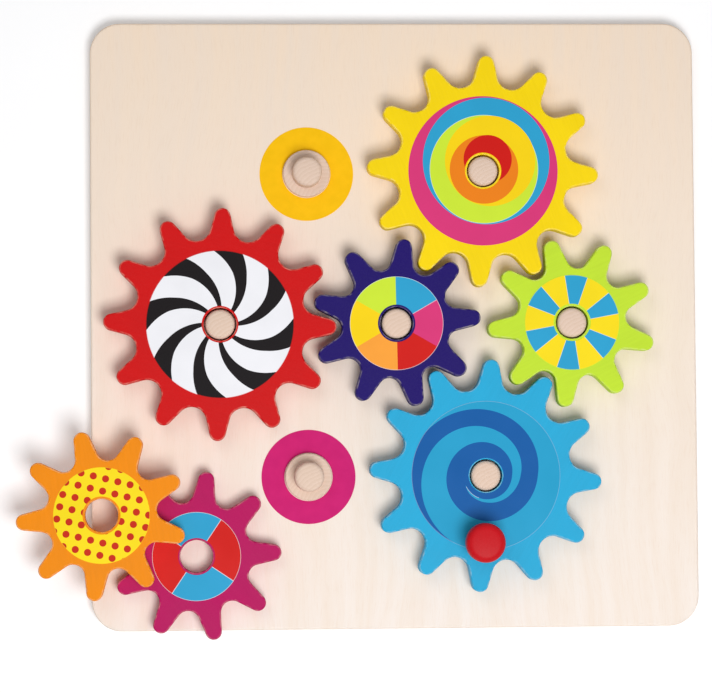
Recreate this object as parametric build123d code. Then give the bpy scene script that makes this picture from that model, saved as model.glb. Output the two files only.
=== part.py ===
from build123d import *
import os
from math import acos, atan2, cos, degrees, hypot, pi, sin

# Wooden crank gear toy: a square board with seven pegs, seven gears that mesh on them, and a crank knob.
# The origin is the middle of the board's underside. X runs to the right, Y to the far edge, Z up.

# ---------------------------------------------------------------- driving sizes, in mm and degrees

# Board
board_side = 300.0
board_thickness = 9.0
board_corner_radius = 15.0
board_edge_round = 1.2

# Pegs: one in the middle and six round it, all the same distance apart
peg_pitch = 86.5
collar_radius = 11.6
collar_height = 4.0
collar_edge_round = 0.8
spigot_radius = 7.25
spigot_proud = 1.0          # how far the spigot stands above the gear's top
spigot_top_round = 2.2
tenon_radius = 5.0          # the tenon goes through the board and ends flush with its underside
glue_gap = 0.05             # radial room round a glued tenon

# Gears
gear_thickness = 10.0
gear_edge_round = 0.8
bore_radius = 8.0
bore_edge_round = 0.5
big_teeth = 12
small_teeth = 9
big_addendum = 7.6          # from the pitch circle out to the tooth's tip
small_addendum = 4.5
tip_clearance = 1.9         # between a tip and the bottom of the valley it enters
tip_round_radius = 4.0
big_valley_radius = 7.2
small_valley_radius = 5.6
running_gap = 0.2           # under a gear, where it rests on its collar or on what it lies on
big_gear_turn = 27.4        # direction of a big gear's first tooth when the train is in mesh

# Where each mounted gear rests within the play of its teeth, in degrees from the middle of that play
play = {"yellow": 0.3, "cyan": -0.9, "red": 1.0, "lime": 1.1, "indigo": 0.5}

# Crank knob
knob_circle_radius = 32.6           # from the cyan gear's axis to the knob's
knob_tooth = 8              # the knob stands in line with this tooth of its gear
knob_head_radius = 9.6
knob_neck_radius = 6.4
knob_foot_radius = 8.0
knob_height = 21.0
knob_head_height = 9.0      # from the underside of the head to its top
knob_top_round = 3.4
knob_foot_height = 1.5
knob_tenon_radius = 3.5
knob_tenon_short = 0.6      # the knob's tenon stops this far inside the gear's underside

# Printed labels and the rings printed on the board
label_thickness = 0.15
ring_thickness = 0.15
ring_outer_radius = 23.2
ring_inner_gap = 0.3        # from the collar to the ring's inner edge

# From the gear's bore out to the label's inner edge
label_bore_margin = {
    "yellow": 1.0, "red": 1.0, "cyan": 0.6, "indigo": 1.2, "lime": 1.2, "orange": 1.2, "magenta": 1.0,
}
# From the bottom of the teeth's valleys in to the label's outer edge
label_rim = {
    "yellow": 6.2, "red": 6.9, "cyan": 6.5, "indigo": 4.6, "lime": 4.2, "orange": 4.2, "magenta": 5.9,
}

# The two gears that lie off their pegs: how far in from the board's left and near edges, and their turn
magenta_inset_x = 51.4
magenta_inset_y = 36.7
magenta_turn = 2.5
orange_inset_x = 5.55
orange_inset_y = 57.25
orange_turn = 24.6

same_size = 0.0001          # two heights or radii that differ by less are the same

# ---------------------------------------------------------------- places worked out from the sizes

# The pegs round the middle one, in turn from the one in the direction +X
outer_places = ["right", "upper_right", "upper_left", "left", "lower_left", "lower_right"]
# The gear that belongs on each peg, by its colour
gear_home = {
    "indigo": "middle",
    "lime": "right",
    "yellow": "upper_right",
    "orange": "upper_left",
    "red": "left",
    "magenta": "lower_left",
    "cyan": "lower_right",
}
big_gears = ["yellow", "red", "cyan"]

seat_height = board_thickness + collar_height + running_gap
big_pitch_radius = peg_pitch * big_teeth / (big_teeth + small_teeth)
small_pitch_radius = peg_pitch - big_pitch_radius


def polar(radius, angle):
    """A point at this radius and at this angle in degrees from +X."""
    return Vector(radius * cos(angle * pi / 180), radius * sin(angle * pi / 180))


def peg_point(place):
    """Where a peg stands on the board."""
    if place == "middle":
        return Vector(0, 0)
    return polar(peg_pitch, 360 / len(outer_places) * outer_places.index(place))


def meshed_turn(teeth, mate_teeth, mate_turn, direction):
    """Turn of a gear whose valleys meet the teeth of a mate that lies in the opposite direction.

    direction runs from the mate's axis to this gear's axis. The mate's teeth and this gear's valleys
    reach that line together.
    """
    share = (teeth + mate_teeth) * direction + 180 * (teeth - 1) - mate_teeth * mate_turn
    return share / teeth % (360 / teeth)


def direction_between(start, end):
    """Direction in degrees of the line from one point to another."""
    return degrees(atan2(end.Y - start.Y, end.X - start.X))


def rest_turn(colour):
    """Direction of a mounted gear's first tooth at rest."""
    if colour in big_gears:
        return big_gear_turn + play[colour]
    mate = peg_point(gear_home["yellow"])
    direction = direction_between(mate, peg_point(gear_home[colour]))
    return meshed_turn(small_teeth, big_teeth, big_gear_turn, direction) + play[colour]


# ---------------------------------------------------------------- shapes


def gear_sizes(colour):
    """Teeth, tip radius, root radius and valley rounding of the gear of this colour."""
    if colour in big_gears:
        tip = big_pitch_radius + big_addendum
        root = big_pitch_radius - small_addendum - tip_clearance
        return big_teeth, tip, root, big_valley_radius
    tip = small_pitch_radius + small_addendum
    root = small_pitch_radius - big_addendum - tip_clearance
    return small_teeth, tip, root, small_valley_radius


def tooth_outline(teeth, tip_radius, root_radius, valley_radius):
    """Closed outline with a round tip and a round valley for each tooth.

    The straight flank between them is the line that touches both arcs and crosses between their centres.
    """
    half_pitch = 180 / teeth
    tip_centre = polar(tip_radius - tip_round_radius, 0)
    valley_centre = polar(root_radius + valley_radius, half_pitch)
    between = valley_centre - tip_centre
    lean = degrees(acos((tip_round_radius + valley_radius) / hypot(between.X, between.Y)))
    normal = direction_between(tip_centre, valley_centre) - lean
    flank_top = tip_centre + polar(tip_round_radius, normal)
    flank_foot = valley_centre - polar(valley_radius, normal)

    edges = []
    for tooth in range(teeth):
        turn = 2 * half_pitch * tooth
        tip_start = mirrored(flank_top).rotate(Axis.Z, turn)
        tip_end = flank_top.rotate(Axis.Z, turn)
        valley_start = flank_foot.rotate(Axis.Z, turn)
        valley_end = mirrored(flank_foot).rotate(Axis.Z, turn + 2 * half_pitch)
        next_tip_start = mirrored(flank_top).rotate(Axis.Z, turn + 2 * half_pitch)
        edges.append(ThreePointArc(tip_start, polar(tip_radius, turn), tip_end))
        edges.append(Line(tip_end, valley_start))
        edges.append(ThreePointArc(valley_start, polar(root_radius, turn + half_pitch), valley_end))
        edges.append(Line(valley_end, next_tip_start))
    return edges


def mirrored(point):
    """The same point on the other side of the X axis."""
    return Vector(point.X, -point.Y)


def disc(radius, height, bottom=0.0):
    """Upright cylinder that stands at this height."""
    return Pos(0, 0, bottom) * Cylinder(radius, height, align=(Align.CENTER, Align.CENTER, Align.MIN))


def end_edges(solid, height):
    """All edges that lie in the level plane at this height."""
    return [edge for edge in solid.edges() if abs(edge.bounding_box().max.Z - height) < same_size
            and abs(edge.bounding_box().min.Z - height) < same_size]


def gear(colour):
    """A gear on its own axis, standing on the plane Z = 0, with its first tooth along +X."""
    outline = make_face(tooth_outline(*gear_sizes(colour)))
    blank = extrude(outline, amount=gear_thickness)
    for height in (0, gear_thickness):
        blank = fillet(end_edges(blank, height), gear_edge_round)
    blank -= disc(bore_radius, gear_thickness)
    for height in (0, gear_thickness):
        rim = [edge for edge in end_edges(blank, height) if edge.length < 2.2 * pi * bore_radius
               and edge.geom_type == GeomType.CIRCLE and abs(edge.radius - bore_radius) < same_size]
        blank = fillet(rim, bore_edge_round)
    return blank


def label(colour):
    """The printed disc on top of a gear, on the gear's own axis."""
    root_radius = gear_sizes(colour)[2]
    outer = disc(root_radius - label_rim[colour], label_thickness, gear_thickness)
    return outer - disc(bore_radius + label_bore_margin[colour], label_thickness, gear_thickness)


def peg():
    """A turned peg on its own axis: a tenon in the board, a collar on it and a spigot for the gear."""
    collar = disc(collar_radius, collar_height, board_thickness)
    collar = fillet(end_edges(collar, board_thickness + collar_height), collar_edge_round)
    spigot_top = seat_height + gear_thickness + spigot_proud
    spigot = disc(spigot_radius, spigot_top - board_thickness, board_thickness)
    spigot = fillet(end_edges(spigot, spigot_top), spigot_top_round)
    tenon = disc(tenon_radius, board_thickness)
    return tenon + collar + spigot


def board():
    """The square board with a hole through it for each peg's tenon."""
    panel = extrude(RectangleRounded(board_side, board_side, board_corner_radius), amount=board_thickness)
    for height in (0, board_thickness):
        panel = fillet(end_edges(panel, height), board_edge_round)
    for place in ["middle", *outer_places]:
        panel -= Pos(peg_point(place)) * disc(tenon_radius + glue_gap, board_thickness)
    return panel


def ring():
    """The ring printed on the board round a peg, on the peg's own axis."""
    outer = disc(ring_outer_radius, ring_thickness, board_thickness)
    return outer - disc(collar_radius + ring_inner_gap, ring_thickness, board_thickness)


def knob():
    """The turned crank knob on its own axis: foot, waisted neck, round head, and a tenon in the gear."""
    base = gear_thickness + label_thickness
    top = base + knob_height
    shoulder = top - knob_head_height
    waist = (base + knob_foot_height + shoulder) / 2
    corner_centre = (knob_head_radius - knob_top_round, top - knob_top_round)
    corner = [
        (knob_tenon_radius, knob_tenon_short),
        (knob_tenon_radius, base),
        (knob_foot_radius, base),
        (knob_foot_radius, base + knob_foot_height),
    ]
    head_low = (knob_head_radius, shoulder)
    head_high = (knob_head_radius, top - knob_top_round)
    crown_rim = (knob_head_radius - knob_top_round, top)
    edges = [
        Polyline((0, knob_tenon_short), *corner),
        ThreePointArc(corner[-1], (knob_neck_radius, waist), head_low),
        Line(head_low, head_high),
        CenterArc(corner_centre, knob_top_round, 0, 90),
        Polyline(crown_rim, (0, top), (0, knob_tenon_short)),
    ]
    profile = make_face([Plane.XZ * edge for edge in edges])
    return revolve(profile, Axis.Z)


# ---------------------------------------------------------------- places of the gears and the export


def gear_place(colour):
    """Location of a gear's own axis and underside."""
    loose_height = board_thickness + running_gap
    left_edge = -board_side / 2
    near_edge = -board_side / 2
    if colour == "magenta":
        spot = Vector(left_edge + magenta_inset_x, near_edge + magenta_inset_y, loose_height)
        return Location(spot, (0, 0, magenta_turn))
    if colour == "orange":
        on_magenta = loose_height + gear_thickness + label_thickness + running_gap
        spot = Vector(left_edge + orange_inset_x, near_edge + orange_inset_y, on_magenta)
        return Location(spot, (0, 0, orange_turn))
    spot = peg_point(gear_home[colour]) + Vector(0, 0, seat_height)
    return Location(spot, (0, 0, rest_turn(colour)))


def build():
    """Every piece of the toy in its place, by name."""
    pieces = {"base_board": board()}
    for place in ["middle", *outer_places]:
        pieces["peg_" + place] = Pos(peg_point(place)) * peg()
    for colour, place in gear_home.items():
        pieces[colour + "_ring"] = Pos(peg_point(place)) * ring()
        body = gear(colour)
        face = label(colour)
        if colour == "cyan":
            knob_spot = Pos(polar(knob_circle_radius, knob_tooth * 360 / big_teeth))
            tenon_hole = knob_spot * disc(knob_tenon_radius + glue_gap, gear_thickness + label_thickness)
            body -= tenon_hole
            face -= tenon_hole
            pieces["crank_knob"] = gear_place(colour) * knob_spot * knob()
        pieces[colour + "_gear"] = gear_place(colour) * body
        pieces[colour + "_label"] = gear_place(colour) * face
    return pieces


os.makedirs("parts", exist_ok=True)
for name, piece in build().items():
    export_step(piece, f"parts/{name}.step")

print(f"big gear: tip {gear_sizes('yellow')[1]:.2f} root {gear_sizes('yellow')[2]:.2f}")
print(f"small gear: tip {gear_sizes('lime')[1]:.2f} root {gear_sizes('lime')[2]:.2f}")
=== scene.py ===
# %% [markdown]
# # A wooden crank gear toy
#
# The toy is a square board of pale plywood with seven turned pegs. Painted wooden gears turn on the pegs
# and mesh with each other, and a red knob on the cyan gear turns the whole train. Every gear carries a
# printed label, and a ring of colour on the board shows which gear belongs on which peg.
#
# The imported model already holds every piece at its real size. This lesson keeps the pieces whose shape is
# right as they are, such as the board and the thin labels, and gives them a finish. Where a smoother
# surface pays, as on the teeth of a gear or on a turned peg, it works the surface out with numpy.

import bpy
import bmesh
import numpy as np
from mathutils import Matrix, Vector


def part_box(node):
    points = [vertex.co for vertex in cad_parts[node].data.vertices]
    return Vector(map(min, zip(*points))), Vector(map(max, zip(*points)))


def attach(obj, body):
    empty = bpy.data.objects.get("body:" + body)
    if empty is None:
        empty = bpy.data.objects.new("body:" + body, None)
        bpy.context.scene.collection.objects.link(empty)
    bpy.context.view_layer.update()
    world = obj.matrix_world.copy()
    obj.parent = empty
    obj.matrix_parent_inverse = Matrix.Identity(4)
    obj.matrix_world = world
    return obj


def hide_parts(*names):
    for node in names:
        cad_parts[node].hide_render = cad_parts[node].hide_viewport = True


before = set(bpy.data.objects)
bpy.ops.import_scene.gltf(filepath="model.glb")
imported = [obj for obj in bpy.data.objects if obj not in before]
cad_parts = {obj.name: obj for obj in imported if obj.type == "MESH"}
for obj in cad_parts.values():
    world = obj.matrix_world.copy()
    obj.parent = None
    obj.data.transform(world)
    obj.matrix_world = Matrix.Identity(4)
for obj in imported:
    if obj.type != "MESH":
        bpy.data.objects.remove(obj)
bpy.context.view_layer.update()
MM = 0.001

# %% [markdown]
# ## Sizes read from the frame
#
# A gear's centre and the top of its wood can be read from its label, which is a disc on the gear's own
# axis. Its tip and root radius are the largest and smallest distance of its outer wall from that axis. Its
# turn is the direction of its teeth: the points of the tips, taken round the circle as many times as there
# are teeth, all point the same way, so their mean gives the angle.

# %% Measure the gears
TEETH = {"yellow": 12, "red": 12, "cyan": 12, "indigo": 9, "lime": 9, "orange": 9, "magenta": 9}
PLACES = ["middle", "right", "upper_right", "upper_left", "left", "lower_left", "lower_right"]


def node_points(name):
    """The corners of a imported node's mesh as an (n, 3) array, in metres."""
    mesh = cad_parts[name].data
    flat = np.empty(len(mesh.vertices) * 3)
    mesh.vertices.foreach_get("co", flat)
    return flat.reshape(-1, 3)


def measure_gear(colour):
    """Centre, heights, radii and turn of a gear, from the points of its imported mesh."""
    low, high = (np.array(corner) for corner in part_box(colour + "_label"))
    bottom, top = (corner[2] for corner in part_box(colour + "_gear"))
    centre = (low + high)[:2] / 2
    local = node_points(colour + "_gear")[:, :2] - centre
    reach = np.hypot(local[:, 0], local[:, 1])
    direction = np.arctan2(local[:, 1], local[:, 0])
    tip = reach.max()
    bore = reach.min()
    tips = direction[reach > tip * 0.9995]
    turn = np.angle(np.exp(1j * TEETH[colour] * tips).mean()) / TEETH[colour]
    outer_wall = reach[reach > (high - low)[0] / 2 + MM]
    return {
        "centre": centre,
        "bottom": bottom,
        "top": top,
        "label_radius": (high - low)[0] / 2,
        "label_top": high[2],
        "tip": tip,
        "root": outer_wall.min(),
        "bore": bore,
        "turn": turn,
    }


gears = {colour: measure_gear(colour) for colour in TEETH}
for colour, size in gears.items():
    print(f"{colour}: tip {size['tip'] / MM:.1f} mm, root {size['root'] / MM:.1f} mm, "
          f"turn {np.degrees(size['turn']):.1f} degrees, top {size['top'] / MM:.1f} mm")

# %% [markdown]
# ## From arrays to meshes
#
# Every new surface here is a grid of points: one parameter runs along the outline or round the axis, the
# other along the section. One helper turns such a grid into a closed mesh. It measures the volume inside
# with the divergence theorem, and turns the faces round if that volume comes out negative, so they always
# point outwards.

# %% Helpers for meshes


def signed_volume(points, quads):
    """Volume inside a closed mesh: the sum over its faces of corner . (side x side) / 6."""
    a, b, c, d = (points[quads[:, k]] for k in range(4))
    halves = np.einsum("ij,ij->i", a, np.cross(b, c)) + np.einsum("ij,ij->i", a, np.cross(c, d))
    return halves.sum() / 6


def grid_quads(rows, columns, close_columns):
    """Corner numbers of the faces of a grid that always closes round its rows."""
    row = np.arange(rows)
    column = np.arange(columns if close_columns else columns - 1)
    i, j = (index.ravel() for index in np.meshgrid(row, column, indexing="ij"))
    next_i = (i + 1) % rows
    next_j = (j + 1) % columns
    here = i * columns
    after = next_i * columns
    return np.stack([here + j, after + j, after + next_j, here + next_j], 1)


def grid_object(name, points, close_columns, values=None):
    """A smooth closed mesh object from an (n, m, 3) grid of points in metres.

    values holds more arrays over the grid, by name: each becomes an attribute that a finish can read.
    """
    rows, columns = points.shape[:2]
    corners = points.reshape(-1, 3)
    quads = grid_quads(rows, columns, close_columns)
    if signed_volume(corners, quads) < 0:
        quads = quads[:, ::-1]
    mesh = bpy.data.meshes.new(name)
    mesh.from_pydata(corners.tolist(), [], quads.tolist())
    for key, value in (values or {}).items():
        kind, field = ("FLOAT_VECTOR", "vector") if value.ndim == 3 else ("FLOAT", "value")
        layer = mesh.attributes.new(key, kind, "POINT")
        layer.data.foreach_set(field, np.ascontiguousarray(value, dtype=np.float32).ravel())
    work = bmesh.new()
    work.from_mesh(mesh)
    bmesh.ops.remove_doubles(work, verts=work.verts, dist=1e-7)
    work.to_mesh(mesh)
    work.free()
    mesh.shade_smooth()
    piece = bpy.data.objects.new(name, mesh)
    bpy.context.scene.collection.objects.link(piece)
    print(f"{name}: {len(mesh.polygons)} faces")
    return piece


def bend(start, end, steps):
    """Angles in radians from start to end, both given in degrees."""
    return np.radians(np.linspace(start, end, steps))


# %% [markdown]
# ## Node finishes
#
# A finish is a formula over the object's own coordinates, so a pattern needs a few dozen Math nodes. The
# small class below adds a node and joins it up in one call, so the formula can be read in the code. All
# of its patterns are measured in millimetres on the object.

# %% Helper for finishes


def linear(colour):
    """A colour as seen on a screen, 0 to 255, as the linear values a shader takes."""
    share = np.array(colour) / 255
    light = np.where(share <= 0.04045, share / 12.92, ((share + 0.055) / 1.055) ** 2.4)
    return (*light.tolist(), 1.0)


SATIN = 0.1     # how strongly a finish mirrors: paint, ink and bare wood are all duller than glass


class Finish:
    """A new material, with short calls that add its nodes."""

    def __init__(self, name):
        self.material = bpy.data.materials.new(name)
        self.material.use_nodes = True
        self.tree = self.material.node_tree
        self.shader = self.tree.nodes["Principled BSDF"]
        self.shader.inputs["Specular IOR Level"].default_value = SATIN

    def set(self, socket, value):
        """Gives a socket a plain value, or joins it to another node's output."""
        if isinstance(value, bpy.types.NodeSocket):
            self.tree.links.new(value, socket)
        else:
            socket.default_value = value

    def node(self, kind, inputs=None, **settings):
        """A node with its settings made and its inputs set or joined."""
        made = self.tree.nodes.new("ShaderNode" + kind)
        for key, value in settings.items():
            setattr(made, key, value)
        for key, value in (inputs or {}).items():
            self.set(made.inputs[key], value)
        return made

    def maths(self, operation, first, second=0.0):
        """The result of one Math node."""
        return self.node("Math", {0: first, 1: second}, operation=operation).outputs[0]

    def position(self, centre=(0, 0, 0), turn=0.0, scale=(1, 1, 1)):
        """Object coordinates in millimetres from a centre, turned back by an angle in degrees.

        Each axis is divided by its scale, so a pattern laid on it grows by as much.
        """
        source = self.node("TexCoord").outputs["Object"]
        inputs = {"Vector": source, "Location": centre, "Rotation": (0, 0, np.radians(turn)),
                  "Scale": tuple(MM * axis for axis in scale)}
        return self.node("Mapping", inputs, vector_type="TEXTURE").outputs[0]

    def noise(self, position, size, detail=3.0, roughness=0.5):
        """Soft noise from 0 to 1, with features about as large as size in millimetres."""
        inputs = {"Vector": position, "Scale": 1 / size, "Detail": detail, "Roughness": roughness}
        return self.node("TexNoise", inputs).outputs[0]

    def spread(self, value, low, high, to_low=0.0, to_high=1.0):
        """A value mapped from one range to another, and held at its ends."""
        inputs = {0: value, 1: low, 2: high, 3: to_low, 4: to_high}
        return self.node("MapRange", inputs).outputs[0]

    def mix(self, share, first, second):
        """A colour between two: the first where share is 0, the second where it is 1."""
        made = self.node("Mix", data_type="RGBA")
        self.set(made.inputs["Factor"], share)
        self.set(made.inputs["A"], first)
        self.set(made.inputs["B"], second)
        return made.outputs["Result"]

    def bump(self, height, depth, below=None):
        """Surface relief as deep as depth in millimetres where height goes from 0 to 1."""
        inputs = {"Height": height, "Distance": depth * MM}
        if below is not None:
            inputs["Normal"] = below
        return self.node("Bump", inputs).outputs[0]

    def finish(self, colour, roughness, normal):
        """Joins colour, roughness and relief to the surface."""
        self.set(self.shader.inputs["Base Color"], colour)
        self.set(self.shader.inputs["Roughness"], roughness)
        self.set(self.shader.inputs["Normal"], normal)
        return self.material


# %% [markdown]
# ## Painted wood
#
# The gears are cut from smooth board and dipped in satin paint. Up close the paint is not one even colour:
# it is a little thinner on the rounded edges, it carries the faint lines of the wood below, and its surface
# has a fine pebble like orange peel. An image could hold all that, but a formula holds it at any distance.
# The gear's mesh carries an attribute that is 1 on its rounded edges, so the paint can be lighter there:
# partly thin paint, partly a painted highlight.

# %% Painted wood
THIN_PAINT_AND_HIGHLIGHT = (250, 236, 210)    # pale rounded edges: paint worn thin there, and a painted highlight
KNOB_PAINT = (194, 14, 26)


def painted_wood(name, colour, grain_turn=0.0, shine=0.46):
    """Satin paint on wood: faint grain, edges lightened by thin paint and a painted highlight, and a fine
    pebbled surface.
    """
    paint = Finish(name)
    place = paint.position()
    along = paint.position(turn=grain_turn, scale=(1, 14, 1))
    cloud = paint.noise(place, 26, 2)
    grain = paint.noise(along, 1.1, 4, 0.6)
    pebble = paint.noise(place, 0.55, 2)
    light = np.array(linear(colour))
    deep = tuple((light[:3] * 0.95).tolist()) + (1.0,)
    pale = tuple(np.minimum(light[:3] * 1.03 + 0.001, 1).tolist()) + (1.0,)
    bare = np.array(linear(THIN_PAINT_AND_HIGHLIGHT))
    worn_and_lit = tuple((light[:3] * 0.66 + bare[:3] * 0.34).tolist()) + (1.0,)
    shade = paint.maths("ADD", paint.maths("MULTIPLY", cloud, 0.55), paint.maths("MULTIPLY", grain, 0.45))
    base = paint.mix(paint.spread(shade, 0.36, 0.64), deep, pale)
    speck = paint.spread(pebble, 0.42, 0.60, 0.0, 0.005)
    base = paint.mix(speck, base, (1, 1, 1, 1))
    # The rounded edges are lightened: partly paint worn thin, partly a painted highlight on every rounded
    # edge.
    edge = paint.node("Attribute", attribute_name="edge").outputs["Fac"]
    patchy = paint.spread(paint.noise(place, 3.2, 3), 0.40, 0.66)
    wear_and_highlight = paint.maths("MULTIPLY", edge, patchy)
    base = paint.mix(paint.maths("MULTIPLY", wear_and_highlight, 0.75), base, worn_and_lit)
    relief = paint.bump(grain, 0.014)
    relief = paint.bump(pebble, 0.014, relief)
    rough = paint.spread(cloud, 0.3, 0.7, shine - 0.04, shine + 0.08)
    return paint.finish(base, rough, relief)


PAINT = {
    "yellow": (252, 218, 0),
    "red": (207, 8, 10),
    "cyan": (38, 170, 216),
    "indigo": (26, 4, 101),
    "lime": (196, 229, 52),
    "orange": (243, 141, 0),
    "magenta": (182, 6, 92),
}
GRAIN_TURN = {"yellow": 20, "red": 75, "cyan": -30, "indigo": 50, "lime": -65, "orange": 8, "magenta": 38}
paints = {}
for colour, screen in PAINT.items():
    paints[colour] = painted_wood(colour + "_paint_finish", screen, GRAIN_TURN[colour])
print("paints:", len(paints))

# %% [markdown]
# ## The gears
#
# A tooth is a round tip and a round valley joined by a straight flank. Both arcs and the flank can be
# given by the direction of their normal: along the tip it swings from one flank's normal to the other's,
# and along the valley it swings back. Because every outline point has its normal, moving each point in
# along it gives the rounded edge exactly, with no modifier.
#
# The section runs up the outer wall, over the rounded edge, across the flat top to the bore, down the
# bore and back under. Outline and section both close on themselves, so the gear is one closed grid.

# %% Gear surface
TIP_ROUND = 4.0 * MM
VALLEY_ROUND = {12: 7.2 * MM, 9: 5.6 * MM}
EDGE_ROUND = 0.8 * MM
BORE_ROUND = 0.5 * MM
ARC_STEPS = 12
EDGE_STEPS = 6
HOLD = 0.12 * MM    # a loop this far from each edge keeps the flat faces flat under smooth shading


def unit(angle):
    """Directions at these angles in radians, as an (n, 2) array."""
    return np.stack([np.cos(angle), np.sin(angle)], -1)


def tooth_outline(teeth, tip, root):
    """Points and outward normals of the toothed outline about the origin, first tooth along X.

    A tip point is the tip's centre plus its radius times the normal. A valley point is the valley's centre
    minus its radius times the normal. The flank's normal makes the angle acos((r1 + r2) / distance) with
    the line between the two centres, because a flank crosses between them.
    """
    valley_round = VALLEY_ROUND[teeth]
    half = np.pi / teeth
    tip_centre = np.array([tip - TIP_ROUND, 0])
    valley_centre = (root + valley_round) * unit(half)
    between = valley_centre - tip_centre
    flank = np.arctan2(between[1], between[0]) - np.arccos((TIP_ROUND + valley_round) / np.hypot(*between))
    tip_normals = unit(np.linspace(-flank, flank, ARC_STEPS))
    valley_normals = unit(np.linspace(flank, 2 * half - flank, ARC_STEPS))
    tip_points = tip_centre + TIP_ROUND * tip_normals
    valley_points = valley_centre - valley_round * valley_normals
    points = np.concatenate([tip_points, valley_points])
    normals = np.concatenate([tip_normals, valley_normals])
    turns = 2 * half * np.arange(teeth)
    cosine, sine = np.cos(turns), np.sin(turns)
    swing = np.stack([np.stack([cosine, -sine], -1), np.stack([sine, cosine], -1)], 1)
    return (np.einsum("tij,pj->tpi", swing, part).reshape(-1, 2) for part in (points, normals))


def wall_section(height, rounding):
    """Inset from a wall and height along a wall with two rounded edges, from its lower to its upper face.

    Each edge is a quarter circle of the rounding, and a loop close to each end holds the flats flat.
    """
    low = bend(0, 90, EDGE_STEPS)
    high = bend(0, 90, EDGE_STEPS)
    inset = np.concatenate([
        [rounding + HOLD],
        rounding - rounding * np.sin(low),
        [0, 0],
        rounding - rounding * np.cos(high),
        [rounding + HOLD],
    ])
    level = np.concatenate([
        [0],
        rounding - rounding * np.cos(low),
        [rounding + HOLD, height - rounding - HOLD],
        height - rounding + rounding * np.sin(high),
        [height],
    ])
    return inset, level


def gear_surface(colour):
    """Grid of points of a gear in its place, and the grid that is 1 on its rounded edges."""
    size = gears[colour]
    height = size["top"] - size["bottom"]
    outline, normals = tooth_outline(TEETH[colour], size["tip"], size["root"])
    inset, level = wall_section(height, EDGE_ROUND)
    outer = outline[:, None] - inset[:, None] * normals[:, None]
    bore_inset, bore_level = (part[::-1] for part in wall_section(height, BORE_ROUND))
    bearing = outline / np.hypot(outline[:, 0], outline[:, 1])[:, None]
    inner = bearing[:, None] * (size["bore"] + bore_inset)[:, None]
    flat = np.concatenate([outer, inner], 1)
    turn = size["turn"]
    swing = np.array([[np.cos(turn), np.sin(turn)], [-np.sin(turn), np.cos(turn)]])
    flat = flat @ swing + size["centre"]
    heights = np.concatenate([level, bore_level]) + size["bottom"]
    points = np.dstack([flat, np.broadcast_to(heights, flat.shape[:2])])
    outer_edge = (inset > 0) & (inset < EDGE_ROUND)
    bore_edge = (bore_inset > 0) & (bore_inset < BORE_ROUND)
    on_edge = np.concatenate([outer_edge, bore_edge])
    return points, np.broadcast_to(on_edge.astype(float), flat.shape[:2])


def make_gear(colour):
    """A gear with its paint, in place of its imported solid."""
    points, edge = gear_surface(colour)
    piece = grid_object(colour + "_gear_wood", points, True, {"edge": edge})
    piece.data.materials.append(paints[colour])
    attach(piece, colour + "_gear")
    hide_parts(colour + "_gear")
    return piece


for colour in gears:
    make_gear(colour)

# %% [markdown]
# ## The labels
#
# Each gear's label is a printed disc with its own pattern. The patterns are old and simple ones: nested
# circles, swirling arms, a spiral, sectors, rays, dots and quarters. An image would fix how sharp they are.
# As formulas over the distance and the direction from the gear's axis they stay sharp at any zoom.
#
# The labels share a thin line at their rim, where the paper's cut edge shows.

# %% Label helpers
RIM_LINE = 0.22     # width in mm of the pale line at a label's edge
INK = {
    "pink": (220, 56, 122),
    "blue": (44, 163, 210),
    "sea": (32, 160, 205),
    "lime": (208, 236, 56),
    "amber": (253, 216, 12),
    "orange": (242, 132, 20),
    "red": (210, 22, 14),
    "white": (244, 244, 249),
    "black": (6, 0, 3),
    "deep_blue": (2, 90, 164),
    "pale_orange": (252, 164, 58),
    "brick": (200, 40, 14),
    "sun": (252, 224, 22),
}


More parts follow.
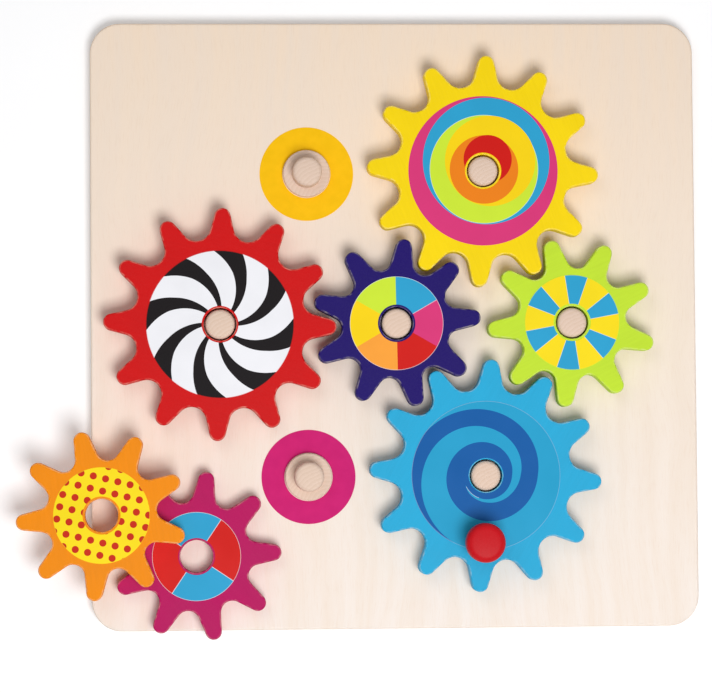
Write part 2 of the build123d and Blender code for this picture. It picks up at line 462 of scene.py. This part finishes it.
class Print(Finish):
    """A printed label: masks are 1 where they hold, worked out in millimetres from the gear's axis."""

    def __init__(self, colour):
        super().__init__(colour + "_print_finish")
        self.size = gears[colour]
        self.centre = (*self.size["centre"].tolist(), self.size["label_top"])
        place = self.position(self.centre)
        axes = self.node("SeparateXYZ", {0: place}).outputs
        self.across, self.up = axes[0], axes[1]
        self.radius = self.distance(0, 0)
        self.angle = self.maths("ARCTAN2", self.up, self.across)

    def distance(self, x, y):
        """Distance from a point on the label."""
        dx = self.maths("SUBTRACT", self.across, x)
        dy = self.maths("SUBTRACT", self.up, y)
        squares = self.maths("ADD", self.maths("MULTIPLY", dx, dx), self.maths("MULTIPLY", dy, dy))
        return self.maths("SQRT", squares)

    def away_from_edge(self, radius, reach, direction):
        """Distance outside a circle's edge. Its centre lies this far from the axis, in this direction."""
        bearing = np.radians(direction)
        away = self.distance(float(reach * np.cos(bearing)), float(reach * np.sin(bearing)))
        return self.maths("SUBTRACT", away, radius)

    def turns(self, start=0.0):
        """The direction from the axis as a share of a full turn, counted from start in degrees."""
        share = self.maths("DIVIDE", self.angle, 2 * np.pi)
        return self.maths("FRACT", self.maths("ADD", share, 2 - start / 360))

    def from_whole(self, value):
        """How far a value lies from the nearest whole number, from 0 to 0.5."""
        part = self.maths("FRACT", self.maths("ADD", value, 0.5))
        return self.maths("ABSOLUTE", self.maths("SUBTRACT", part, 0.5))

    def near(self, value, target, half_width):
        """1 where a value is within half_width of the target."""
        gap = self.maths("ABSOLUTE", self.maths("SUBTRACT", value, target))
        return self.maths("LESS_THAN", gap, half_width)

    def ink(self, base, mask, name):
        """The colour base with an ink laid over it where the mask holds."""
        return self.mix(mask, base, linear(INK[name]))

    def hairline(self, base, away, strength=0.6):
        """A thin white line where the distance from the line, which may be negative, is small."""
        line = self.near(away, 0.0, RIM_LINE / 2)
        return self.mix(self.maths("MULTIPLY", line, strength), base, linear(INK["white"]))

    def complete(self, base, rim="white", strength=0.6, shine=0.4):
        """Adds the pale rim line, the grain of the print and the relief, and returns the material."""
        outer = self.size["label_radius"] / MM
        line = self.maths("GREATER_THAN", self.radius, outer - RIM_LINE)
        base = self.mix(self.maths("MULTIPLY", line, strength), base, linear(INK[rim]))
        place = self.position()
        grain = self.noise(place, 0.45, 2)
        cloud = self.noise(place, 18, 2)
        base = self.mix(self.spread(grain, 0.38, 0.62, 0.0, 0.003), base, (1, 1, 1, 1))
        base = self.mix(self.spread(cloud, 0.35, 0.65, 0.0, 0.04), base, (0, 0, 0, 1))
        relief = self.bump(grain, 0.012)
        return self.finish(base, self.spread(cloud, 0.3, 0.7, shine, shine + 0.08), relief)


# %% [markdown]
# The yellow gear has six discs inside each other. Every second one is pushed towards the upper right, so
# each leaves a crescent of the one below. The discs are laid over each other from the largest to the
# smallest.

# %% Nested circles
NESTED = [
    ("blue", 31.3, 5.1, 72),
    ("lime", 26.7, 0.9, 60),
    ("amber", 22.3, 6.0, 54),
    ("orange", 16.9, 0.8, 55),
    ("red", 11.9, 6.2, 68),
]


def nested_circles():
    """Pink disc with five more discs laid on it."""
    label = Print("yellow")
    base = linear(INK["pink"])
    for ink, radius, reach, direction in NESTED:
        away = label.away_from_edge(radius, reach, direction)
        base = label.ink(base, label.maths("LESS_THAN", away, 0), ink)
        if ink == "lime":
            base = label.hairline(base, away)
    return label.complete(base, rim="pink")


# %% [markdown]
# The red gear has eight black arms that sweep round as they go out. An arm's middle runs almost evenly with
# the radius and a little faster at the rim, and each arm grows from a third of its share at the bore to half
# of it at the rim.

# %% Swirling arms
ARMS = 8
ARM_START = 3.1         # direction in degrees of an arm's middle at the radius below
ARM_START_RADIUS = 10.5
ARM_SWEEP = 1.10        # degrees for each mm further out
ARM_SWEEP_GAIN = 0.0105  # and for each mm squared
ARM_WIDTH = (13.0, 13.4, 16.2, 22.5)    # degrees, at the radii below
ARM_WIDTH_AT = (10.0, 12.0, 26.0, 35.5)


def swirl():
    """White disc with eight black arms."""
    label = Print("red")
    out = label.maths("SUBTRACT", label.radius, ARM_START_RADIUS)
    bent = label.maths("MULTIPLY", label.maths("MULTIPLY", out, out), ARM_SWEEP_GAIN)
    sweep = label.maths("ADD", label.maths("MULTIPLY", out, ARM_SWEEP), bent)
    lag = label.maths("DIVIDE", sweep, 360)
    share = label.maths("MULTIPLY", label.maths("SUBTRACT", label.turns(ARM_START), lag), ARMS)
    within = label.from_whole(share)
    width = label.spread(label.radius, ARM_WIDTH_AT[0], ARM_WIDTH_AT[2], ARM_WIDTH[0], ARM_WIDTH[2])
    flare = label.spread(label.radius, ARM_WIDTH_AT[2], ARM_WIDTH_AT[3], 0.0, ARM_WIDTH[3] - ARM_WIDTH[2])
    half = label.maths("DIVIDE", label.maths("ADD", width, flare), 2 * 360 / ARMS)
    base = label.ink(linear(INK["white"]), label.maths("LESS_THAN", within, half), "black")
    return label.complete(base, rim="red")


# %% [markdown]
# The cyan gear has a spiral. Its dark band lies between two curves that wind in towards the bore. Each
# curve gives a radius for an angle that goes on past a full turn, so it is a Float Curve node, read once
# for each turn. A point is dark where its radius lies between the two curves at any of these readings.

# %% Spiral
SPIRAL_FROM = -520.0    # degrees at the left end of the curves
SPIRAL_TO = 360.0       # and at the right end
SPIRAL_END = 0.64       # direction of the light band's narrow end, as a share of a turn
SPIRAL_REACH = 40.0     # the radius in mm that a curve's value of 1 stands for
OUTER_CURVE = [(-520, 11.1), (-440, 11.7), (-360, 12.8), (-285, 15.8), (-210, 18.4), (-148, 20.5),
               (-60, 23.2), (0, 25.5), (70, 30.8), (136, 35.8), (180, 40), (360, 40)]
INNER_CURVE = [(-520, 0), (-230, 0), (-162, 0), (-157, 11.1), (-135, 12.0), (-85, 13.3), (-35, 15.3),
               (0, 17.0), (75, 22.5), (155, 29.5), (234, 35.8), (290, 40), (360, 40)]


def curve_reader(label, points):
    """A Float Curve node through points of angle and radius."""
    made = label.node("FloatCurve")
    curve = made.mapping.curves[0]
    angles, radii = (np.array(part) for part in zip(*points))
    along = (angles - SPIRAL_FROM) / (SPIRAL_TO - SPIRAL_FROM)
    scaled = np.stack([along, radii / SPIRAL_REACH], 1).tolist()
    curve.points[0].location = scaled[0]
    curve.points[-1].location = scaled[-1]
    for spot in scaled[1:-1]:
        curve.points.new(*spot)
    for point in curve.points:
        point.handle_type = "VECTOR"
    made.mapping.update()
    return made


def curve_radius(label, points, turn):
    """Radius in mm of a curve at this point's direction, less a number of full turns."""
    degrees = label.maths("SUBTRACT", label.maths("MULTIPLY", label.turns(), 360), 360 * turn)
    made = curve_reader(label, points)
    label.set(made.inputs["Value"], label.spread(degrees, SPIRAL_FROM, SPIRAL_TO))
    return label.maths("MULTIPLY", made.outputs[0], SPIRAL_REACH)


def spiral():
    """Light blue disc with a dark blue spiral."""
    label = Print("cyan")
    base = linear(INK["sea"])
    for turn in range(3):
        outside = label.maths("GREATER_THAN", label.radius, curve_radius(label, INNER_CURVE, turn))
        past_outer = label.maths("SUBTRACT", label.radius, curve_radius(label, OUTER_CURVE, turn))
        inside = label.maths("LESS_THAN", past_outer, 0)
        base = label.ink(base, label.maths("MULTIPLY", outside, inside), "deep_blue")
    end = label.near(label.turns(), SPIRAL_END, 0.06)
    base = label.hairline(base, past_outer, label.maths("MULTIPLY", end, 0.5))
    return label.complete(base, strength=0.2)


# %% [markdown]
# The small gears have plain divisions of the circle. A constant Color Ramp read by the direction gives the
# sectors, a square lattice gives the dots, and thin pale lines follow where two inks meet.

# %% Sectors, rays, quarters and dots
SECTORS = ["pink", "blue", "lime", "amber", "pale_orange", "red"]    # from 30 degrees below the X axis
SECTOR_START = -30.0
RAY_START = 70.4        # direction in degrees of the first blue ray's near side
RAY_SHARE = 0.467       # the blue ray's share of its pair
QUARTER_START = 56.0
DOT_PITCH = 6.1
DOT_RADIUS = 1.72
DOT_TURN = -14.0
DOT_SHIFT = (0.62, 0.90)    # where the dots lie in the lattice, as shares of the pitch


def sector_ramp(label, inks, start):
    """Constant colours in equal sectors round the axis, one after the other from start in degrees."""
    made = label.node("ValToRGB", {0: label.turns(start)})
    ramp = made.color_ramp
    ramp.interpolation = "CONSTANT"
    while len(ramp.elements) < len(inks):
        ramp.elements.new(0.5)
    for step, ink in enumerate(inks):
        ramp.elements[step].position = step / len(inks)
        ramp.elements[step].color = linear(INK[ink])
    return made.outputs[0]


def dividing_lines(label, base, start, count, width, strength=0.7):
    """Thin pale lines of even width along evenly spaced directions."""
    share = label.maths("MULTIPLY", label.turns(start), count)
    turn_away = label.maths("MULTIPLY", label.from_whole(share), 2 * np.pi / count)
    away = label.maths("MULTIPLY", turn_away, label.radius)
    line = label.maths("LESS_THAN", away, width / 2)
    return label.mix(label.maths("MULTIPLY", line, strength), base, linear(INK["white"]))


def six_sectors():
    """Six inks, one for each sixth of the circle."""
    label = Print("indigo")
    base = sector_ramp(label, SECTORS, SECTOR_START)
    base = dividing_lines(label, base, SECTOR_START + 60, 1, 0.25, strength=0.6)
    return label.complete(base)


def rays():
    """Blue and yellow rays by turns."""
    label = Print("lime")
    share = label.maths("FRACT", label.maths("MULTIPLY", label.turns(RAY_START), 6))
    base = label.ink(linear(INK["sun"]), label.maths("LESS_THAN", share, RAY_SHARE), "blue")
    for start in (RAY_START, RAY_START + 60 * RAY_SHARE):
        base = dividing_lines(label, base, start, 6, RIM_LINE, 0.55)
    return label.complete(base, rim="lime")


def quarters():
    """Blue and red quarters by turns."""
    label = Print("magenta")
    base = sector_ramp(label, ["blue", "red", "blue", "red"], QUARTER_START)
    base = dividing_lines(label, base, QUARTER_START, 4, 0.3)
    return label.complete(base)


def dots():
    """Brick red dots on yellow, on a turned square lattice."""
    label = Print("orange")
    place = label.position(label.centre, turn=DOT_TURN, scale=(DOT_PITCH, DOT_PITCH, 1))
    axes = label.node("SeparateXYZ", {0: place}).outputs
    offsets = []
    for axis, shift in zip(axes[:2], DOT_SHIFT):
        cell = label.maths("FRACT", label.maths("ADD", axis, 20.5 - shift))
        offsets.append(label.maths("SUBTRACT", cell, 0.5))
    squares = [label.maths("MULTIPLY", offset, offset) for offset in offsets]
    away = label.maths("SQRT", label.maths("ADD", *squares))
    base = label.ink(linear(INK["sun"]), label.maths("LESS_THAN", away, DOT_RADIUS / DOT_PITCH), "brick")
    return label.complete(base, rim="sun")


prints = {"yellow": nested_circles(), "red": swirl(), "cyan": spiral(), "indigo": six_sectors(),
          "lime": rays(), "magenta": quarters(), "orange": dots()}


def dress(node, material):
    """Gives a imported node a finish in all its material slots."""
    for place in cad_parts[node].material_slots:
        place.material = material


for colour, material in prints.items():
    dress(colour + "_label", material)
print("labels:", ", ".join(prints))

# %% [markdown]
# ## Rings of colour on the board
#
# The rings are printed straight on the wood with flat ink. The wood's pores take the ink unevenly, so the
# colour has a faint mottle and the fibres show as fine relief.

# %% Rings
RING_INK = dict(PAINT, orange=(252, 196, 0), magenta=(205, 26, 113))


def ring_ink(name, colour):
    """Flat ink on wood: even colour with a faint mottle and the wood's fine relief."""
    ink = Finish(name)
    place = ink.position()
    fibre = ink.noise(ink.position(scale=(1, 18, 1)), 0.7, 3)
    mottle = ink.noise(place, 5, 3)
    light = np.array(linear(colour))[:3]
    thick = (*(light * 0.97).tolist(), 1)
    thin = (*np.minimum(light * 1.02 + 0.002, 1).tolist(), 1)
    return ink.finish(ink.mix(ink.spread(mottle, 0.35, 0.65), thick, thin), 0.55, ink.bump(fibre, 0.012))


for colour, screen in RING_INK.items():
    dress(colour + "_ring", ring_ink(colour + "_ink_finish", screen))
print("rings:", len(RING_INK))

# %% [markdown]
# ## Bare wood
#
# The board is birch plywood. On its face the grain is a set of long, soft, wavy lines with fine pores, and
# on its sides the plies show as thin layers, pale where the fibres run along and browner where they end.
# The layer is found from the height, and the side from the normal, so one finish does for the whole panel.

# %% Board
PLY_COUNT = 5
# Painted light: the face's colour on its near, lit side and on its far, shaded side.
BIRCH_LIT_NEAR = (251, 243, 238)
BIRCH_SHADED_FAR = (250, 226, 200)
BIRCH_WARM = (243, 226, 210)
BIRCH_DARK = (228, 200, 172)
END_GRAIN = (190, 150, 112)
GLUE_LINE = (120, 86, 58)
GLUE_SHARE = 0.07       # of a ply's thickness
GRAIN_STRETCH = 16      # how many times longer than wide the grain's features are
GRAIN_DRIFT = 26        # mm that the grain's lines wander sideways


def birch_plywood():
    """Birch plywood: long grain on the faces, plies on the sides, and painted light that fades from the near
    to the far side of the face.
    """
    wood = Finish("birch_plywood_finish")
    place = wood.position()
    board_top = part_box("base_board")[1][2] / MM
    warp = wood.noise(place, 90, 2)
    along = wood.position(scale=(1, GRAIN_STRETCH, 1))
    push = wood.node("CombineXYZ", {0: wood.maths("MULTIPLY", warp, GRAIN_DRIFT)}).outputs[0]
    drift = wood.node("VectorMath", {0: along, 1: push}, operation="ADD").outputs[0]
    bands = wood.noise(drift, 7.5, 4, 0.55)
    fibre = wood.noise(drift, 0.6, 3, 0.6)
    pores = wood.noise(wood.position(scale=(1, 9, 1)), 0.32, 2)
    axes = wood.node("SeparateXYZ", {0: place}).outputs
    # Painted light: the face is lighter on the near side, towards the key lamp, and darker on the far side.
    pale = wood.mix(wood.spread(axes[1], -150, 150), linear(BIRCH_LIT_NEAR), linear(BIRCH_SHADED_FAR))
    base = wood.mix(wood.spread(bands, 0.34, 0.62, 0.25, 0.65), linear(BIRCH_WARM), pale)
    base = wood.mix(wood.spread(fibre, 0.52, 0.74, 0.0, 0.20), base, linear(BIRCH_DARK))
    base = wood.mix(wood.spread(pores, 0.66, 0.76, 0.0, 0.18), base, linear(BIRCH_DARK))
    layer = wood.maths("MULTIPLY", axes[2], PLY_COUNT / board_top)
    cross = wood.maths("GREATER_THAN", wood.maths("FRACT", wood.maths("MULTIPLY", layer, 0.5)), 0.5)
    ends = wood.mix(wood.spread(wood.noise(place, 0.35, 2), 0.3, 0.7), linear(END_GRAIN), linear(BIRCH_DARK))
    plies = wood.mix(cross, wood.mix(0.35, base, linear(BIRCH_DARK)), ends)
    glue = wood.maths("LESS_THAN", wood.maths("FRACT", layer), GLUE_SHARE)
    plies = wood.mix(wood.maths("MULTIPLY", glue, 0.55), plies, linear(GLUE_LINE))
    facing = wood.node("SeparateXYZ", {0: wood.node("NewGeometry").outputs["Normal"]}).outputs[2]
    side = wood.spread(wood.maths("ABSOLUTE", facing), 0.55, 0.8, 1.0, 0.0)
    base = wood.mix(side, base, plies)
    relief = wood.bump(fibre, 0.03)
    relief = wood.bump(pores, 0.03, relief)
    return wood.finish(base, wood.spread(bands, 0.3, 0.7, 0.5, 0.62), relief)


dress("base_board", birch_plywood())
print("board dressed")

# %% [markdown]
# ## Turned pieces
#
# The pegs and the knob come off a lathe, so each is a profile of radius and height carried round an axis.
# The pegs are bare: their flat ends show the year rings of the stick they were cut from, and a lathe leaves
# faint lines round them. The year rings are centred beside the peg's own axis, as in a stick cut from the
# side of a trunk, so the mesh carries each point's place from the peg's axis as an attribute.

# %% Turning
ROUND_STEPS = 96
TRUNK_MIDDLE = (9.0, -14.0)     # mm from the peg's axis to the middle of the year rings
YEAR_PITCH = 1.9                # mm from one year ring to the next
YEAR_WOBBLE = 2.4               # mm that a ring strays from a circle
LATHE_LINES = 60.0              # how closely the lathe's lines follow each other up the peg
EARLY_WOOD = (232, 207, 190)
LATE_WOOD = (225, 198, 178)
FIBRE_DARK = (206, 172, 142)


def turned(name, profile, centre):
    """A closed surface of revolution from an (m, 2) profile of radius and height in metres.

    Each point is the centre plus the radius times the direction of its turn, at the profile's height.
    """
    turn = np.linspace(0, 2 * np.pi, ROUND_STEPS, endpoint=False)
    local = np.dstack([
        np.outer(np.cos(turn), profile[:, 0]),
        np.outer(np.sin(turn), profile[:, 0]),
        np.broadcast_to(profile[:, 1], (ROUND_STEPS, len(profile))),
    ])
    return grid_object(name, local + [*centre, 0], False, {"from_axis": local})


def corner(x, z, radius, start, end):
    """A rounded corner of a profile: an arc about (x, z) from one angle in degrees to another."""
    angle = bend(start, end, EDGE_STEPS + 2)
    return np.stack([x + radius * np.cos(angle), z + radius * np.sin(angle)], -1)


def turned_wood():
    """Bare turned wood with year rings on its ends and lathe lines round it."""
    wood = Finish("turned_wood_finish")
    local = wood.node("Attribute", attribute_name="from_axis").outputs["Vector"]
    middle = (TRUNK_MIDDLE[0] * MM, TRUNK_MIDDLE[1] * MM, 0)
    inputs = {"Vector": local, "Location": middle, "Scale": (MM, MM, 9 * MM)}
    place = wood.node("Mapping", inputs, vector_type="TEXTURE").outputs[0]
    wobble = wood.noise(place, 7, 2)
    axes = wood.node("SeparateXYZ", {0: place}).outputs
    squares = [wood.maths("MULTIPLY", axes[k], axes[k]) for k in range(2)]
    reach = wood.maths("SQRT", wood.maths("ADD", *squares))
    trunk = wood.maths("ADD", reach, wood.maths("MULTIPLY", wobble, YEAR_WOBBLE))
    years = wood.maths("FRACT", wood.maths("DIVIDE", trunk, YEAR_PITCH))
    fibre = wood.noise(place, 0.35, 3, 0.6)
    base = wood.mix(wood.spread(years, 0.1, 1.0), linear(EARLY_WOOD), linear(LATE_WOOD))
    base = wood.mix(wood.spread(fibre, 0.45, 0.75, 0.0, 0.30), base, linear(FIBRE_DARK))
    rings = wood.maths("SINE", wood.maths("MULTIPLY", axes[2], LATHE_LINES))
    relief = wood.bump(fibre, 0.04)
    relief = wood.bump(wood.spread(rings, -1, 1), 0.01, relief)
    return wood.finish(base, 0.58, relief)


# %% [markdown]
# A peg has a tenon in the board, a collar that keeps the gear off the wood, and a spigot with a soft crown
# that the gear drops over. All heights come from the boxes of the board and of the peg, and the gear above
# the collar gives the collar's height.

# %% Pegs
COLLAR_RADIUS = 11.6 * MM
SPIGOT_RADIUS = 7.25 * MM
TENON_RADIUS = 5.0 * MM
COLLAR_ROUND = 0.8 * MM
SPIGOT_ROUND = 2.2 * MM
SEAT_GAP = 0.2 * MM
CROWN = 0.35 * MM       # how much the middle of the top stands above its rim
board_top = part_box("base_board")[1][2]
collar_top = gears["lime"]["bottom"] - SEAT_GAP


def peg_profile(low, high):
    """Radius and height from the tenon's end up to the crown."""
    rim = high - CROWN
    crown_run = np.linspace(1, 0, 6)[:, None] * (SPIGOT_RADIUS - SPIGOT_ROUND)
    crown_rise = rim + CROWN * (1 - (crown_run / (SPIGOT_RADIUS - SPIGOT_ROUND)) ** 2)
    return np.concatenate([
        [(0, low), (TENON_RADIUS - HOLD, low), (TENON_RADIUS, low), (TENON_RADIUS, low + HOLD)],
        [(TENON_RADIUS, board_top), (TENON_RADIUS + HOLD, board_top), (COLLAR_RADIUS - HOLD, board_top)],
        [(COLLAR_RADIUS, board_top), (COLLAR_RADIUS, board_top + HOLD)],
        corner(COLLAR_RADIUS - COLLAR_ROUND, collar_top - COLLAR_ROUND, COLLAR_ROUND, 0, 90),
        [(SPIGOT_RADIUS + HOLD, collar_top), (SPIGOT_RADIUS, collar_top), (SPIGOT_RADIUS, collar_top + HOLD)],
        corner(SPIGOT_RADIUS - SPIGOT_ROUND, rim - SPIGOT_ROUND, SPIGOT_ROUND, 0, 84),
        np.hstack([crown_run, crown_rise])[1:],
    ])


peg_finish = turned_wood()
for place in PLACES:
    node = "peg_" + place
    low, high = (np.array(limit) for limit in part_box(node))
    peg = turned(node + "_turned", peg_profile(low[2], high[2]), (low + high)[:2] / 2)
    peg.data.materials.append(peg_finish)
    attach(peg, "board")
    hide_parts(node)

# %% [markdown]
# The knob is painted like the gears. Its foot stands on the label, its neck is waisted for small fingers,
# and its head is rounded over. Its tenon is hidden in the gear's wood.

# %% Knob
KNOB_HEAD = 9.6 * MM
KNOB_NECK = 6.4 * MM
KNOB_FOOT = 8.0 * MM
KNOB_TENON = 3.5 * MM
KNOB_TOP_ROUND = 3.4 * MM
KNOB_HEAD_HEIGHT = 9.0 * MM
KNOB_FOOT_HEIGHT = 1.5 * MM
KNOB_SMALL_ROUND = 0.6 * MM


def knob_profile(low, base, high):
    """Radius and height from the tenon's end over foot, neck and head to the crown.

    The neck is a cosine dip between the foot and the head, so it leaves both smoothly.
    """
    shoulder = high - KNOB_HEAD_HEIGHT
    share = np.linspace(0, 1, 20)
    rise = base + KNOB_FOOT_HEIGHT + share * (shoulder - base - KNOB_FOOT_HEIGHT)
    line = KNOB_FOOT + (KNOB_HEAD - KNOB_FOOT) * share ** 3
    neck = line - (KNOB_FOOT - KNOB_NECK) * 1.15 * np.sin(np.pi * share ** 0.8) ** 2
    crown = np.linspace(1, 0, 8)[:, None] * (KNOB_HEAD - KNOB_TOP_ROUND)
    crown_rise = high - CROWN * (crown / (KNOB_HEAD - KNOB_TOP_ROUND)) ** 2
    return np.concatenate([
        [(0, low), (KNOB_TENON - HOLD, low), (KNOB_TENON, low), (KNOB_TENON, low + HOLD)],
        [(KNOB_TENON, base), (KNOB_TENON + HOLD, base), (KNOB_FOOT - KNOB_SMALL_ROUND - HOLD, base)],
        corner(KNOB_FOOT - KNOB_SMALL_ROUND, base + KNOB_SMALL_ROUND, KNOB_SMALL_ROUND, -90, 0),
        np.stack([neck, rise], -1),
        corner(KNOB_HEAD - KNOB_TOP_ROUND, high - CROWN - KNOB_TOP_ROUND, KNOB_TOP_ROUND, 0, 86),
        np.hstack([crown, crown_rise])[1:],
    ])


low, high = (np.array(limit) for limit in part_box("crank_knob"))
profile = knob_profile(low[2], gears["cyan"]["label_top"], high[2])
knob = turned("crank_knob_turned", profile, (low + high)[:2] / 2)
knob.data.materials.append(painted_wood("knob_paint_finish", KNOB_PAINT, 10, 0.4))
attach(knob, "cyan_gear")
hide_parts("crank_knob")

# %% [markdown]
# ## Floor, light and camera
#
# The photograph is taken from nearly straight above, against pure white, in soft light that comes mostly
# from the lower right of the picture. One large lamp there gives the shadows their direction. The world
# and a weak lamp on the far side fill them. The camera sees the floor lifted to white by a little emission
# that lights nothing else, so the toy's shadow stays on it.

# %% Floor
FLOOR_SIDE = 6.0
FLOOR_LIFT = 0.18


def white_floor():
    """White floor that keeps shadows but looks pure white where it is lit."""
    floor = Finish("floor_finish")
    path = floor.node("LightPath").outputs
    seen = floor.maths("MAXIMUM", path["Is Camera Ray"], path["Is Glossy Ray"])
    seen = floor.maths("MAXIMUM", seen, path["Is Transmission Ray"])
    grain = floor.noise(floor.position(), 40, 2)
    base = floor.mix(grain, (0.90, 0.90, 0.91, 1), (0.92, 0.92, 0.93, 1))
    floor.set(floor.shader.inputs["Emission Color"], (1, 1, 1, 1))
    floor.set(floor.shader.inputs["Emission Strength"], floor.maths("MULTIPLY", seen, FLOOR_LIFT))
    return floor.finish(base, 0.9, floor.bump(grain, 0.01))


floor_mesh = bpy.data.meshes.new("floor")
half = FLOOR_SIDE / 2
corners = [(-half, -half, 0), (half, -half, 0), (half, half, 0), (-half, half, 0)]
floor_mesh.from_pydata(corners, [], [(0, 1, 2, 3)])
floor_mesh.materials.append(white_floor())
floor = bpy.data.objects.new("floor", floor_mesh)
bpy.context.scene.collection.objects.link(floor)

# %% Light
WORLD_STRENGTH = 0.29
LAMPS = {
    # name: (place, size, power in watts)
    "key_lamp": ((0.12, -0.42, 1.15), 0.50, 10.2),
    "far_lamp": ((-0.45, 0.45, 1.20), 0.60, 1.8),
}


def world_light():
    """Even pale light, and pure white where a camera or reflection ray leaves the scene."""
    world = bpy.data.worlds.new("studio_world")
    world.use_nodes = True
    nodes, links = world.node_tree.nodes, world.node_tree.links
    path = nodes.new("ShaderNodeLightPath")
    lift = nodes.new("ShaderNodeMapRange")
    lift.inputs["To Min"].default_value = WORLD_STRENGTH
    lift.inputs["To Max"].default_value = 1.0
    seen = path.outputs["Is Camera Ray"]
    for kind in ("Is Glossy Ray", "Is Transmission Ray"):
        either = nodes.new("ShaderNodeMath")
        either.operation = "MAXIMUM"
        links.new(seen, either.inputs[0])
        links.new(path.outputs[kind], either.inputs[1])
        seen = either.outputs[0]
    links.new(seen, lift.inputs["Value"])
    links.new(lift.outputs[0], nodes["Background"].inputs["Strength"])
    nodes["Background"].inputs["Color"].default_value = (1, 1, 1, 1)
    bpy.context.scene.world = world


def lamp(name, place, size, power):
    """A square area lamp that points at the middle of the board."""
    data = bpy.data.lights.new(name, "AREA")
    data.size = size
    data.energy = power
    made = bpy.data.objects.new(name, data)
    made.location = place
    made.visible_camera = False
    made.rotation_euler = (-Vector(place)).to_track_quat("-Z", "Y").to_euler()
    bpy.context.scene.collection.objects.link(made)


world_light()
for name, (place, size, power) in LAMPS.items():
    lamp(name, place, size, power)
print("lamps:", ", ".join(LAMPS))

# %% Camera
FOCAL_PIXELS = 3000.0
PICTURE_WIDTH = 712.0
SENSOR_WIDTH = 36.0
CAMERA_ABOVE = (-98.3, -72.4, 1480.1)   # mm from the middle of the board's top
CAMERA_TURNS = (-2.388, 3.053, 0.326)   # degrees about X, then Y, then Z, from world to camera

camera_data = bpy.data.cameras.new("camera")
camera_data.sensor_width = SENSOR_WIDTH
camera_data.lens = FOCAL_PIXELS * SENSOR_WIDTH / PICTURE_WIDTH
camera = bpy.data.objects.new("camera", camera_data)
world_to_camera = Matrix.Identity(3)
for turn, axis in zip(CAMERA_TURNS, "XYZ"):
    world_to_camera = Matrix.Rotation(np.radians(turn), 3, axis) @ world_to_camera
eye = Vector(CAMERA_ABOVE) * MM + Vector((0, 0, board_top))
camera.matrix_world = Matrix.Translation(eye) @ world_to_camera.transposed().to_4x4()
bpy.context.scene.collection.objects.link(camera)
bpy.context.scene.camera = camera
bpy.context.scene.view_settings.view_transform = "Standard"
print("lens", round(camera_data.lens, 1), "mm, camera", [round(value, 3) for value in eye])
